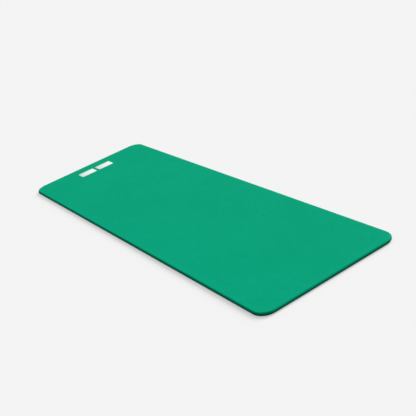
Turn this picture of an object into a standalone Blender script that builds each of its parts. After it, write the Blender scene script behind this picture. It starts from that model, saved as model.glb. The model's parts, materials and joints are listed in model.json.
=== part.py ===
"""Roll-up gymnastics mat: one slab of closed-cell foam, cut for bending into cross strips.

The mat lies flat on the floor with its top at z = THICKNESS, its long side along X and the printed
end at -X. The end panel there stays flat. From it a chain of strips runs to the +X end, each hinged
on the top edge it shares with the one before it, so the mat rolls up from the +X end, top side
inwards, into a spiral whose layers lie ROLL_PITCH apart. Strip 1 is the innermost of the roll.
Metres, +Z up.
"""

import math

import bmesh
import bpy
from mathutils import Matrix, Vector

LENGTH = 1.900
WIDTH = 0.600
THICKNESS = 0.015
CORNER_RADIUS = 0.055
EDGE_ROUND = 0.007
GAP = 0.0003

SIDES_PER_TURN = 15
ROLL_PITCH = 0.0165
STRIPS = 57
FLAT_TAIL = 0.110

BAR_LENGTH = 0.080
BAR_HEIGHT = 0.054
BAR_THICKNESS = 0.0003
BAR_SPACING = 0.094
BAR_FROM_END = 0.100

CORNER_STEPS = 10
EDGE_STEPS = 3
SHARP_ANGLE = math.radians(35)
CUT_TOLERANCE = 1e-7

FOAM_GREEN = (0.0033, 0.362, 0.198, 1.0)
FOAM_ROUGHNESS = 0.8
PRINT_WHITE = (0.72, 0.92, 0.86, 1.0)
PRINT_ROUGHNESS = 0.5


def clear_scene():
    for obj in list(bpy.data.objects):
        bpy.data.objects.remove(obj, do_unlink=True)


def make_material(name, color, roughness):
    material = bpy.data.materials.new(name)
    material.use_nodes = True
    shader = material.node_tree.nodes["Principled BSDF"]
    shader.inputs["Base Color"].default_value = color
    shader.inputs["Roughness"].default_value = roughness
    shader.inputs["Metallic"].default_value = 0.0
    return material


def hinge_positions():
    """x of each strip's hinge, from strip 1 at the +X end to the last strip, next to the end panel.

    The spiral's sides are the strips and, outermost, the part of the end panel beyond its flat tail.
    Side k, counted from the inside, lies at inner + k * growth from the roll's centre.
    """
    sides = STRIPS + 1
    length_per_distance = 2 * math.tan(math.pi / SIDES_PER_TURN)
    growth = ROLL_PITCH / SIDES_PER_TURN
    rolled = (LENGTH - FLAT_TAIL) / length_per_distance
    inner = (rolled - growth * sides * (sides - 1) / 2) / sides
    x = LENGTH / 2
    positions = []
    for k in range(STRIPS):
        x -= length_per_distance * (inner + growth * k)
        positions.append(x)
    return positions


def outline_ring(inset, z):
    """A rounded rectangle, the mat's outline drawn in by inset, at height z."""
    radius = CORNER_RADIUS - inset
    ring = []
    for side_x, side_y, start in ((1, 1, 0.0), (-1, 1, 0.5), (-1, -1, 1.0), (1, -1, 1.5)):
        centre_x = side_x * (LENGTH / 2 - CORNER_RADIUS)
        centre_y = side_y * (WIDTH / 2 - CORNER_RADIUS)
        for step in range(CORNER_STEPS + 1):
            angle = math.pi * (start + 0.5 * step / CORNER_STEPS)
            ring.append(
                (centre_x + radius * math.cos(angle), centre_y + radius * math.sin(angle), z)
            )
    return ring


def edge_profile():
    """(inset, z) up the mat's side: a quarter round, a short upright, a quarter round."""
    quarter = [0.5 * math.pi * step / EDGE_STEPS for step in range(EDGE_STEPS + 1)]
    lower = [(EDGE_ROUND * (1 - math.sin(a)), EDGE_ROUND * (1 - math.cos(a))) for a in quarter]
    upper = [(inset, THICKNESS - z) for inset, z in reversed(lower)]
    return lower + upper


def slab():
    """The whole mat as one closed bmesh."""
    mesh = bmesh.new()
    rings = [
        [mesh.verts.new(point) for point in outline_ring(inset, z)] for inset, z in edge_profile()
    ]
    for low, high in zip(rings, rings[1:]):
        for i, vert in enumerate(low):
            following = (i + 1) % len(low)
            mesh.faces.new((vert, low[following], high[following], high[i]))
    mesh.faces.new(list(reversed(rings[0])))
    mesh.faces.new(rings[-1])
    return mesh


def cut_off(mesh, x, side):
    """Removes what lies beyond x on that side, and closes the cut."""
    geometry = mesh.verts[:] + mesh.edges[:] + mesh.faces[:]
    cut = bmesh.ops.bisect_plane(
        mesh,
        geom=geometry,
        dist=CUT_TOLERANCE,
        plane_co=(x, 0, 0),
        plane_no=(side, 0, 0),
        clear_outer=True,
    )
    rim = [item for item in cut["geom_cut"] if isinstance(item, bmesh.types.BMEdge)]
    bmesh.ops.edgeloop_fill(mesh, edges=rim)


def add_object(name, mesh, origin, material, parent=None):
    """Puts the bmesh, given in the mat's frame, into an object whose origin is at that point."""
    mesh.transform(Matrix.Translation(-Vector(origin)))
    bmesh.ops.recalc_face_normals(mesh, faces=mesh.faces)
    data = bpy.data.meshes.new(name)
    mesh.to_mesh(data)
    mesh.free()
    data.materials.append(material)
    data.shade_smooth()
    data.set_sharp_from_angle(angle=SHARP_ANGLE)
    obj = bpy.data.objects.new(name, data)
    bpy.context.scene.collection.objects.link(obj)
    obj.location = origin
    if parent:
        bpy.context.view_layer.update()
        obj.parent = parent
        obj.matrix_parent_inverse = parent.matrix_world.inverted()
    return obj


def add_strip(name, x_from, x_to, origin, material, parent=None):
    mesh = slab()
    if x_from > -LENGTH / 2:
        cut_off(mesh, x_from + GAP / 2, -1)
    if x_to < LENGTH / 2:
        cut_off(mesh, x_to - GAP / 2, 1)
    return add_object(name, mesh, origin, material, parent)


def box(size, centre):
    mesh = bmesh.new()
    bmesh.ops.create_cube(mesh, size=1.0)
    mesh.transform(Matrix.Translation(centre) @ Matrix.Diagonal((*size, 1.0)))
    return mesh


def add_printed_bar(name, y, panel, material):
    """A plain bar of transfer film, flush in a shallow pocket pressed into the end panel."""
    x = -LENGTH / 2 + BAR_FROM_END
    film = (BAR_HEIGHT, BAR_LENGTH, BAR_THICKNESS)
    film_centre = (x, y, THICKNESS - BAR_THICKNESS / 2)
    add_object(name, box(film, film_centre), film_centre, material, panel)

    depth = BAR_THICKNESS + GAP
    overshoot = 0.001
    pocket = (BAR_HEIGHT + 2 * GAP, BAR_LENGTH + 2 * GAP, depth + overshoot)
    pocket_centre = (x, y, THICKNESS - depth + pocket[2] / 2)
    cutter = add_object(name + "_pocket", box(pocket, pocket_centre), pocket_centre, material, panel)
    cutter.hide_render = True
    cutter.display_type = "WIRE"
    cut = panel.modifiers.new(name + "_pocket", "BOOLEAN")
    cut.operation = "DIFFERENCE"
    cut.object = cutter


def build_mat():
    foam = make_material("foam", FOAM_GREEN, FOAM_ROUGHNESS)
    film = make_material("print", PRINT_WHITE, PRINT_ROUGHNESS)

    cuts = [LENGTH / 2, *hinge_positions()]
    panel = add_strip("end_panel", -LENGTH / 2, cuts[-1], (-LENGTH / 2, 0, THICKNESS), foam)
    strip = panel
    for number in reversed(range(1, STRIPS + 1)):
        hinge, x_to = cuts[number], cuts[number - 1]
        name = f"foam_strip_{number:02d}"
        strip = add_strip(name, hinge, x_to, (hinge, 0, THICKNESS), foam, strip)

    add_printed_bar("print_bar_near", -BAR_SPACING / 2, panel, film)
    add_printed_bar("print_bar_far", BAR_SPACING / 2, panel, film)


clear_scene()
build_mat()
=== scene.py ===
"""Looks of the roll-up gymnastics mat: one soft slab of closed-cell foam with a plain printed mark.

The CAD model holds the mat as an end panel and a chain of strips. Here each hinge gets one piece of
foam, from the middle of one strip to the middle of the next, so the slab looks whole when it lies
flat. Metres, +Z up.
"""

import json
import math

import bmesh
import bpy
import numpy as np
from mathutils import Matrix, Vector

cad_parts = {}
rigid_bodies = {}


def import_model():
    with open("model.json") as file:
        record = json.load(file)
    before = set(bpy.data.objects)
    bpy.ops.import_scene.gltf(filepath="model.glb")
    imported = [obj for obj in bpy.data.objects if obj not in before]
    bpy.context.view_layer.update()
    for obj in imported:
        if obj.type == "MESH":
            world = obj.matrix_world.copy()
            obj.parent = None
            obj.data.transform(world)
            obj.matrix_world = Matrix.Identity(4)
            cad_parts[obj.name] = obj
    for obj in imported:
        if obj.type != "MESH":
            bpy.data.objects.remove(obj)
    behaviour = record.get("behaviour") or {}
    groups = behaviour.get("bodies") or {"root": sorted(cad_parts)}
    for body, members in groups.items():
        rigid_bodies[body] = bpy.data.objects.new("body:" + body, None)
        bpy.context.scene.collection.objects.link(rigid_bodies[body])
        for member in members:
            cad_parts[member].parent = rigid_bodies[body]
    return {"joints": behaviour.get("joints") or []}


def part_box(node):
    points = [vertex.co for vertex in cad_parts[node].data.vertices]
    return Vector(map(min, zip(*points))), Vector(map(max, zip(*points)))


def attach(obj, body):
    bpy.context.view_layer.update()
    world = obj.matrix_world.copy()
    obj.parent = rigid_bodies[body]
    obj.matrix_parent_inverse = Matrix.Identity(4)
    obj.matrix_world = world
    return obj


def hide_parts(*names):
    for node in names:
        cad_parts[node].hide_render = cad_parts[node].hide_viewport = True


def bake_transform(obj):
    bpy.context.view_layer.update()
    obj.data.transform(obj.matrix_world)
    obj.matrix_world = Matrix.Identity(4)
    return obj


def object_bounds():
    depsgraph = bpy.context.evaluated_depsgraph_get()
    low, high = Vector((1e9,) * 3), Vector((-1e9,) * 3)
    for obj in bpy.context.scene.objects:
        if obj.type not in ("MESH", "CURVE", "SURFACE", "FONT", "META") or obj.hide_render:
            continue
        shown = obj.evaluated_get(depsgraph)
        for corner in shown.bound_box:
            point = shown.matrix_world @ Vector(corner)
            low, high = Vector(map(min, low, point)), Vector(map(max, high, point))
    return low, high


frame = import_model()
cad_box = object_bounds()

LOW, HIGH = cad_box
HALF_LENGTH = (HIGH.x - LOW.x) / 2
HALF_WIDTH = (HIGH.y - LOW.y) / 2
THICKNESS = HIGH.z - LOW.z

# The slab
CORNER_RADIUS = 0.055
EDGE_ROUND = 0.0071
CORNER_STEPS = 28
EDGE_STEPS = 9
FLAT_RINGS = (0.009, 0.013, 0.020, 0.035)  # insets of the loops that keep the faces beside the edge flat
STATION = 0.0055  # longest stretch between two cross-sections
CUT_TOLERANCE = 1e-7
SHARP_ANGLE = math.radians(40)

# The printed bars
FILM_THICKNESS = 0.00022
FILM_GAP = 0.00004
FILM_CORNER = 0.0045
FILM_EDGE = 0.0001
FILM_CORNER_STEPS = 8

# The foam's colours
FOAM_BASE = (0.0005, 0.350, 0.190, 1.0)
FOAM_DEEP = (0.0003, 0.285, 0.151, 1.0)
FOAM_PALE = (0.0025, 0.392, 0.221, 1.0)
FOAM_SCUFF = (0.0300, 0.450, 0.280, 1.0)
FOAM_SPECULAR = 0.02
PAINTED_HIGHLIGHT_BAND = 0.045  # how far in from the outline a painted highlight makes the foam a little paler
RUBBED_RIM = 0.006  # how far in from the outline it is rubbed

# The foam's textures: noise and cell scales per metre, and relief in metres
CLOUD_SCALE = 3.5
SWELL_SCALE = 8.0
SWELL_RELIEF = 0.012
MOTTLE_SCALE = 45.0
RUB_SCALE = 120.0
PIT_PATCH_SCALE = 160.0
PEBBLE_SCALE = 420.0
PEBBLE_RELIEF = 0.00025
SKIN_SCALE = 700.0
SKIN_RELIEF = 0.0003
PIT_SCALE = 1300.0
PIT_RELIEF = 0.0002

# The print
PRINT_WHITE = (0.80, 0.87, 0.84, 1.0)
PRINT_WORN = (0.45, 0.72, 0.62, 1.0)
PRINT_SPECULAR = 0.25
PRINT_PATCH_SCALE = 90.0
PRINT_GRAIN_SCALE = 420.0
PRINT_GRAIN_RELIEF = 0.0012

# The camera
CAMERA_PLACE = (2.985, -1.424, 1.472)
CAMERA_TURN = (64.97, 14.22, 56.28)
CAMERA_LENS = 74.8

# The studio
FLOOR_SIDE = 400.0
FLOOR_DROP = 0.0002
FLOOR_COLOR = (0.43, 0.43, 0.43, 1.0)
FLOOR_GLOW = 0.45
WHITE = (1.0, 1.0, 1.0, 1.0)
BLACK = (0.0, 0.0, 0.0, 1.0)
BACKGROUND = (0.905, 0.905, 0.905, 1.0)
DOME_STOPS = ((0.5, 0.03), (0.62, 0.32))  # height from nadir 0 to zenith 1, and brightness there
DOME_BRIGHT_SIDE = (-0.25, 0.97, 0.0)
DOME_DARK_STRENGTH = 0.15
DOME_BRIGHT_STRENGTH = 1.50
KEY_TOWARD = (-0.20, 1.00, 0.68)
KEY_STRENGTH = 2.65
KEY_ANGLE = math.radians(36)


def distance_inside(x, y):
    """How far each point is inside the mat's outline, a rounded rectangle."""
    beyond_x = np.abs(x) - (HALF_LENGTH - CORNER_RADIUS)
    beyond_y = np.abs(y) - (HALF_WIDTH - CORNER_RADIUS)
    corner = np.hypot(np.maximum(beyond_x, 0), np.maximum(beyond_y, 0))
    return CORNER_RADIUS - corner - np.minimum(np.maximum(beyond_x, beyond_y), 0)


def rounded_ring(centre, half_x, half_y, corner, steps, inset, z):
    """A rounded rectangle round the centre, drawn in by inset, at height z."""
    radius = corner - inset
    ring = []
    for side_x, side_y, start in ((1, 1, 0.0), (-1, 1, 0.5), (-1, -1, 1.0), (1, -1, 1.5)):
        arc_x = centre.x + side_x * (half_x - corner)
        arc_y = centre.y + side_y * (half_y - corner)
        for step in range(steps + 1):
            angle = math.pi * (start + 0.5 * step / steps)
            ring.append((arc_x + radius * math.cos(angle), arc_y + radius * math.sin(angle), z))
    return ring


def closed_loft(outlines):
    """A bmesh through the outlines, lowest first, closed at the bottom and the top."""
    mesh = bmesh.new()
    rings = [[mesh.verts.new(point) for point in outline] for outline in outlines]
    for low, high in zip(rings, rings[1:]):
        for i, vert in enumerate(low):
            following = (i + 1) % len(low)
            mesh.faces.new((vert, low[following], high[following], high[i]))
    mesh.faces.new(list(reversed(rings[0])))
    mesh.faces.new(rings[-1])
    return mesh


def slab_profile():
    """(inset, z) from the underside, round the soft edge, to the top."""
    quarter = [0.5 * math.pi * step / EDGE_STEPS for step in range(EDGE_STEPS + 1)]
    lower = [(inset, 0.0) for inset in reversed(FLAT_RINGS)]
    lower += [(EDGE_ROUND * (1 - math.sin(a)), EDGE_ROUND * (1 - math.cos(a))) for a in quarter]
    return lower + [(inset, THICKNESS - z) for inset, z in reversed(lower)]


def whole_slab():
    middle = Vector((0.0, 0.0))
    return closed_loft(
        [
            rounded_ring(middle, HALF_LENGTH, HALF_WIDTH, CORNER_RADIUS, CORNER_STEPS, inset, z)
            for inset, z in slab_profile()
        ]
    )


def cut(mesh, x, drop_side=0):
    """A cross-section at x. With drop_side -1 or 1, that side of it goes, and the cut is closed."""
    made = bmesh.ops.bisect_plane(
        mesh,
        geom=mesh.verts[:] + mesh.edges[:] + mesh.faces[:],
        dist=CUT_TOLERANCE,
        plane_co=(x, 0, 0),
        plane_no=(drop_side or 1, 0, 0),
        clear_outer=bool(drop_side),
    )
    if drop_side:
        rim = [item for item in made["geom_cut"] if isinstance(item, bmesh.types.BMEdge)]
        bmesh.ops.edgeloop_fill(mesh, edges=rim)


def finished(name, mesh, material):
    """An object from a bmesh, shaded smooth, which remembers where its points lie on the flat mat."""
    data = bpy.data.meshes.new(name)
    mesh.to_mesh(data)
    mesh.free()
    data.materials.append(material)
    data.shade_smooth()
    data.set_sharp_from_angle(angle=SHARP_ANGLE)
    points = np.empty(len(data.vertices) * 3, np.float32)
    data.vertices.foreach_get("co", points)
    data.attributes.new("mat_place", "FLOAT_VECTOR", "POINT").data.foreach_set("vector", points)
    x, y, _ = points.reshape(-1, 3).T
    inside = distance_inside(x, y).astype(np.float32)
    data.attributes.new("edge_distance", "FLOAT", "POINT").data.foreach_set("value", inside)
    piece = bpy.data.objects.new(name, data)
    bpy.context.scene.collection.objects.link(piece)
    return piece


def foam_piece(name, slab, x_from, x_to, material):
    """The slab between two cross-sections, closed at both."""
    mesh = slab.copy()
    if x_from > -HALF_LENGTH:
        cut(mesh, x_from, drop_side=-1)
    if x_to < HALF_LENGTH:
        cut(mesh, x_to, drop_side=1)
    stations = math.ceil((x_to - x_from) / STATION)
    for step in range(1, stations):
        cut(mesh, x_from + (x_to - x_from) * step / stations)
    bmesh.ops.recalc_face_normals(mesh, faces=mesh.faces)
    return finished(name, mesh, material)


def make_foam(material):
    """One piece over each hinge. The first and last run on to the mat's ends."""
    joints = sorted(frame["joints"], key=lambda joint: joint["pos_m"][0])
    hinges = [joint["pos_m"][0] for joint in joints]
    ends = hinges[1:] + [HALF_LENGTH]
    middles = [(hinge + end) / 2 for hinge, end in zip(hinges, ends)]
    first_bend = 2 * hinges[0] - middles[0]
    slab = whole_slab()
    for number, joint in enumerate(joints):
        first = number == 0
        last = number == len(joints) - 1
        bend_from = first_bend if first else middles[number - 1]
        bend_to = middles[number]
        piece = foam_piece(
            f"foam_{joint['name']}",
            slab,
            -HALF_LENGTH if first else bend_from,
            HALF_LENGTH if last else bend_to,
            material,
        )
        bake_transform(piece)
        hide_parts(joint["child"], *([joint["parent"]] if first else []))
    slab.free()


def film_profile():
    """(inset, z) up the film's side to its top, over a softened rim."""
    bottom = THICKNESS + FILM_GAP
    top = bottom + FILM_THICKNESS
    return (
        (0.0, bottom),
        (0.0, top - FILM_EDGE),
        (FILM_EDGE / 3, top - FILM_EDGE / 3),
        (FILM_EDGE, top),
    )


def make_printed_bar(node, material):
    """A thin film with rounded corners, on the foam over the CAD model's bar."""
    low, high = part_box(node)
    centre = (low + high) / 2
    half_x = (high.x - low.x) / 2
    half_y = (high.y - low.y) / 2
    mesh = closed_loft(
        [
            rounded_ring(centre, half_x, half_y, FILM_CORNER, FILM_CORNER_STEPS, inset, z)
            for inset, z in film_profile()
        ]
    )
    piece = finished(node + "_film", mesh, material)
    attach(piece, "end_panel")
    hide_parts(node)


class Nodes:
    """Short names for building a node tree."""

    def __init__(self, tree):
        self.tree = tree

    def add(self, kind, **settings):
        node = self.tree.nodes.new(kind)
        for key, value in settings.items():
            setattr(node, key, value)
        return node

    def link(self, source, target):
        self.tree.links.new(source, target)

    def attribute(self, name, output):
        return self.add("ShaderNodeAttribute", attribute_name=name).outputs[output]

    def noise(self, place, scale, detail, roughness=0.5):
        node = self.add("ShaderNodeTexNoise")
        node.inputs["Scale"].default_value = scale
        node.inputs["Detail"].default_value = detail
        node.inputs["Roughness"].default_value = roughness
        self.link(place, node.inputs["Vector"])
        return node.outputs["Fac"]

    def cells(self, place, scale):
        """The distance to the middle of the nearest cell."""
        node = self.add("ShaderNodeTexVoronoi")
        node.inputs["Scale"].default_value = scale
        self.link(place, node.inputs["Vector"])
        return node.outputs["Distance"]

    def spread(self, value, low, high, to_low=0.0, to_high=1.0):
        """Maps low..high to to_low..to_high, clamped."""
        node = self.add("ShaderNodeMapRange")
        node.inputs["From Min"].default_value = low
        node.inputs["From Max"].default_value = high
        node.inputs["To Min"].default_value = to_low
        node.inputs["To Max"].default_value = to_high
        self.link(value, node.inputs["Value"])
        return node.outputs["Result"]

    def math(self, operation, a, b):
        node = self.add("ShaderNodeMath", operation=operation)
        for socket, value in zip(node.inputs, (a, b)):
            if isinstance(value, float):
                socket.default_value = value
            else:
                self.link(value, socket)
        return node.outputs["Value"]

    def tint(self, color, toward, mask, share):
        """Turns the colour toward another by that share where the mask is 1."""
        node = self.add("ShaderNodeMix", data_type="RGBA")
        self.link(self.math("MULTIPLY", mask, share), node.inputs["Factor"])
        for name, value in (("A", color), ("B", toward)):
            socket = next(s for s in node.inputs if s.name == name and s.type == "RGBA")
            if isinstance(value, tuple):
                socket.default_value = value
            else:
                self.link(value, socket)
        return next(s for s in node.outputs if s.type == "RGBA")

    def bump(self, height, relief, strength, onto=None):
        node = self.add("ShaderNodeBump")
        node.inputs["Distance"].default_value = relief
        node.inputs["Strength"].default_value = strength
        self.link(height, node.inputs["Height"])
        if onto:
            self.link(onto, node.inputs["Normal"])
        return node.outputs["Normal"]


def new_material(name):
    """A material, its nodes, and its shader."""
    material = bpy.data.materials.new(name)
    material.use_nodes = True
    tree = material.node_tree
    return material, Nodes(tree), tree.nodes["Principled BSDF"]


def foam_material():
    """Matte closed-cell foam: a pebbled skin with fine pits, soft mottling and the rim rubbed paler,
    with painted shade in the pits and between the pebbles and a painted highlight near the outline.
    """
    material, n, shader = new_material("closed_cell_foam")
    place = n.attribute("mat_place", "Vector")
    edge = n.attribute("edge_distance", "Fac")

    cloud = n.spread(n.noise(place, CLOUD_SCALE, detail=3.0), 0.38, 0.62)
    mottle = n.spread(n.noise(place, MOTTLE_SCALE, detail=6.0, roughness=0.65), 0.35, 0.65)
    pebbles = n.cells(place, PEBBLE_SCALE)
    pits = n.spread(n.cells(place, PIT_SCALE), 0.08, 0.30, 1.0, 0.0)
    pit_patches = n.spread(n.noise(place, PIT_PATCH_SCALE, detail=3.0), 0.48, 0.60)
    pitted = n.math("MULTIPLY", pits, pit_patches)
    skin = n.noise(place, SKIN_SCALE, detail=5.0, roughness=0.6)
    rim = n.spread(edge, 0.0, RUBBED_RIM, 1.0, 0.0)
    rubbed = n.spread(n.noise(place, RUB_SCALE, detail=6.0, roughness=0.7), 0.50, 0.70)

    color = n.tint(FOAM_BASE, FOAM_PALE, mask=cloud, share=0.30)
    color = n.tint(color, FOAM_DEEP, mask=mottle, share=0.30)
    # Painted shade: the valleys between the pebbles are tinted deeper.
    color = n.tint(color, FOAM_DEEP, mask=n.spread(pebbles, 0.35, 0.75), share=0.28)
    # Painted shade: the pits, which the bump sinks, are tinted deeper.
    color = n.tint(color, FOAM_DEEP, mask=pitted, share=0.45)
    # Painted highlight: the foam is tinted paler in a band along the outline.
    color = n.tint(color, FOAM_PALE, mask=n.spread(edge, 0.0, PAINTED_HIGHLIGHT_BAND, 1.0, 0.0), share=0.30)
    color = n.tint(color, FOAM_SCUFF, mask=n.math("MULTIPLY", rim, rubbed), share=0.30)
    n.link(color, shader.inputs["Base Color"])

    rough = n.spread(skin, 0.3, 0.7, 0.74, 0.90)
    rough = n.math("SUBTRACT", rough, n.math("MULTIPLY", rim, 0.08))
    rough = n.math("ADD", rough, n.math("MULTIPLY", pitted, 0.08))
    n.link(rough, shader.inputs["Roughness"])
    shader.inputs["Specular IOR Level"].default_value = FOAM_SPECULAR

    domes = n.spread(pebbles, 0.0, 0.8, 1.0, 0.0)
    normal = n.bump(n.noise(place, SWELL_SCALE, detail=2.0), SWELL_RELIEF, 0.12)
    normal = n.bump(domes, PEBBLE_RELIEF, 0.55, onto=normal)
    normal = n.bump(skin, SKIN_RELIEF, 0.45, onto=normal)
    normal = n.bump(n.math("SUBTRACT", 1.0, pitted), PIT_RELIEF, 0.6, onto=normal)
    n.link(normal, shader.inputs["Normal"])
    return material


def print_material():
    """White screen print that follows the foam's grain and lets a little green through."""
    material, n, shader = new_material("white_print")
    place = n.attribute("mat_place", "Vector")
    grain = n.noise(place, PRINT_GRAIN_SCALE, detail=4.0, roughness=0.6)
    patches = n.noise(place, PRINT_PATCH_SCALE, detail=5.0, roughness=0.65)
    worn = n.math("MULTIPLY", n.spread(grain, 0.50, 0.66), n.spread(patches, 0.40, 0.62))
    n.link(n.tint(PRINT_WHITE, PRINT_WORN, mask=worn, share=0.7), shader.inputs["Base Color"])
    n.link(n.spread(grain, 0.3, 0.7, 0.48, 0.66), shader.inputs["Roughness"])
    shader.inputs["Specular IOR Level"].default_value = PRINT_SPECULAR
    n.link(n.bump(grain, PRINT_GRAIN_RELIEF, 0.25), shader.inputs["Normal"])
    return material


def floor_material():
    material, _, shader = new_material("floor")
    shader.inputs["Base Color"].default_value = FLOOR_COLOR
    shader.inputs["Roughness"].default_value = 1.0
    shader.inputs["Specular IOR Level"].default_value = 0.0
    shader.inputs["Emission Color"].default_value = WHITE
    shader.inputs["Emission Strength"].default_value = FLOOR_GLOW
    return material


def make_floor():
    """A wide pale floor just under the mat. It throws no light on the mat."""
    mesh = bmesh.new()
    bmesh.ops.create_grid(mesh, x_segments=1, y_segments=1, size=FLOOR_SIDE / 2)
    data = bpy.data.meshes.new("floor")
    mesh.to_mesh(data)
    mesh.free()
    data.materials.append(floor_material())
    floor = bpy.data.objects.new("floor", data)
    floor.location.z = -FLOOR_DROP
    floor.visible_diffuse = False
    bpy.context.scene.collection.objects.link(floor)


def dome_brightness(n, direction):
    """The dome's brightness by height: black below, brightest overhead."""
    split = n.add("ShaderNodeSeparateXYZ")
    n.link(direction, split.inputs["Vector"])
    ramp = n.add("ShaderNodeValToRGB")
    n.link(n.spread(split.outputs["Z"], -1.0, 1.0), ramp.inputs["Fac"])
    stops = ramp.color_ramp.elements
    stops[0].color = BLACK
    stops[1].color = WHITE
    for position, value in DOME_STOPS:
        stops.new(position).color = (value, value, value, 1.0)
    return ramp.outputs["Color"]


def dome_strength(n, direction):
    """The dome's strength by side: brighter on the side that the key light comes from."""
    toward_light = n.add("ShaderNodeVectorMath", operation="DOT_PRODUCT")
    toward_light.inputs[1].default_value = DOME_BRIGHT_SIDE
    n.link(direction, toward_light.inputs[0])
    return n.spread(toward_light.outputs["Value"], -1.0, 1.0, DOME_DARK_STRENGTH, DOME_BRIGHT_STRENGTH)


def make_world():
    """A studio dome that lights the mat. The camera sees it as one pale tone."""
    world = bpy.data.worlds.new("studio")
    world.use_nodes = True
    world.node_tree.nodes.clear()
    n = Nodes(world.node_tree)
    direction = n.add("ShaderNodeTexCoord").outputs["Generated"]
    light = n.add("ShaderNodeBackground")
    n.link(dome_brightness(n, direction), light.inputs["Color"])
    n.link(dome_strength(n, direction), light.inputs["Strength"])
    seen = n.add("ShaderNodeBackground")
    seen.inputs["Color"].default_value = BACKGROUND
    choose = n.add("ShaderNodeMixShader")
    n.link(n.add("ShaderNodeLightPath").outputs["Is Camera Ray"], choose.inputs["Fac"])
    n.link(light.outputs["Background"], choose.inputs[1])
    n.link(seen.outputs["Background"], choose.inputs[2])
    n.link(choose.outputs["Shader"], n.add("ShaderNodeOutputWorld").inputs["Surface"])
    bpy.context.scene.world = world


def make_key_light():
    """A wide soft sun from behind the mat."""
    data = bpy.data.lights.new("key", "SUN")
    data.energy = KEY_STRENGTH
    data.angle = KEY_ANGLE
    sun = bpy.data.objects.new("key", data)
    sun.rotation_mode = "QUATERNION"
    sun.rotation_quaternion = Vector(KEY_TOWARD).to_track_quat("Z", "Y")
    bpy.context.scene.collection.objects.link(sun)


def make_camera():
    camera = bpy.data.objects.new("camera", bpy.data.cameras.new("camera"))
    bpy.context.scene.collection.objects.link(camera)
    camera.location = CAMERA_PLACE
    camera.rotation_euler = [math.radians(angle) for angle in CAMERA_TURN]
    camera.data.lens = CAMERA_LENS
    camera.data.clip_end = FLOOR_SIDE
    bpy.context.scene.camera = camera


make_foam(foam_material())
white_print = print_material()
for node in ("print_bar_near", "print_bar_far"):
    make_printed_bar(node, white_print)
make_camera()
make_floor()
make_world()
make_key_light()
bpy.context.scene.view_settings.view_transform = "Standard"
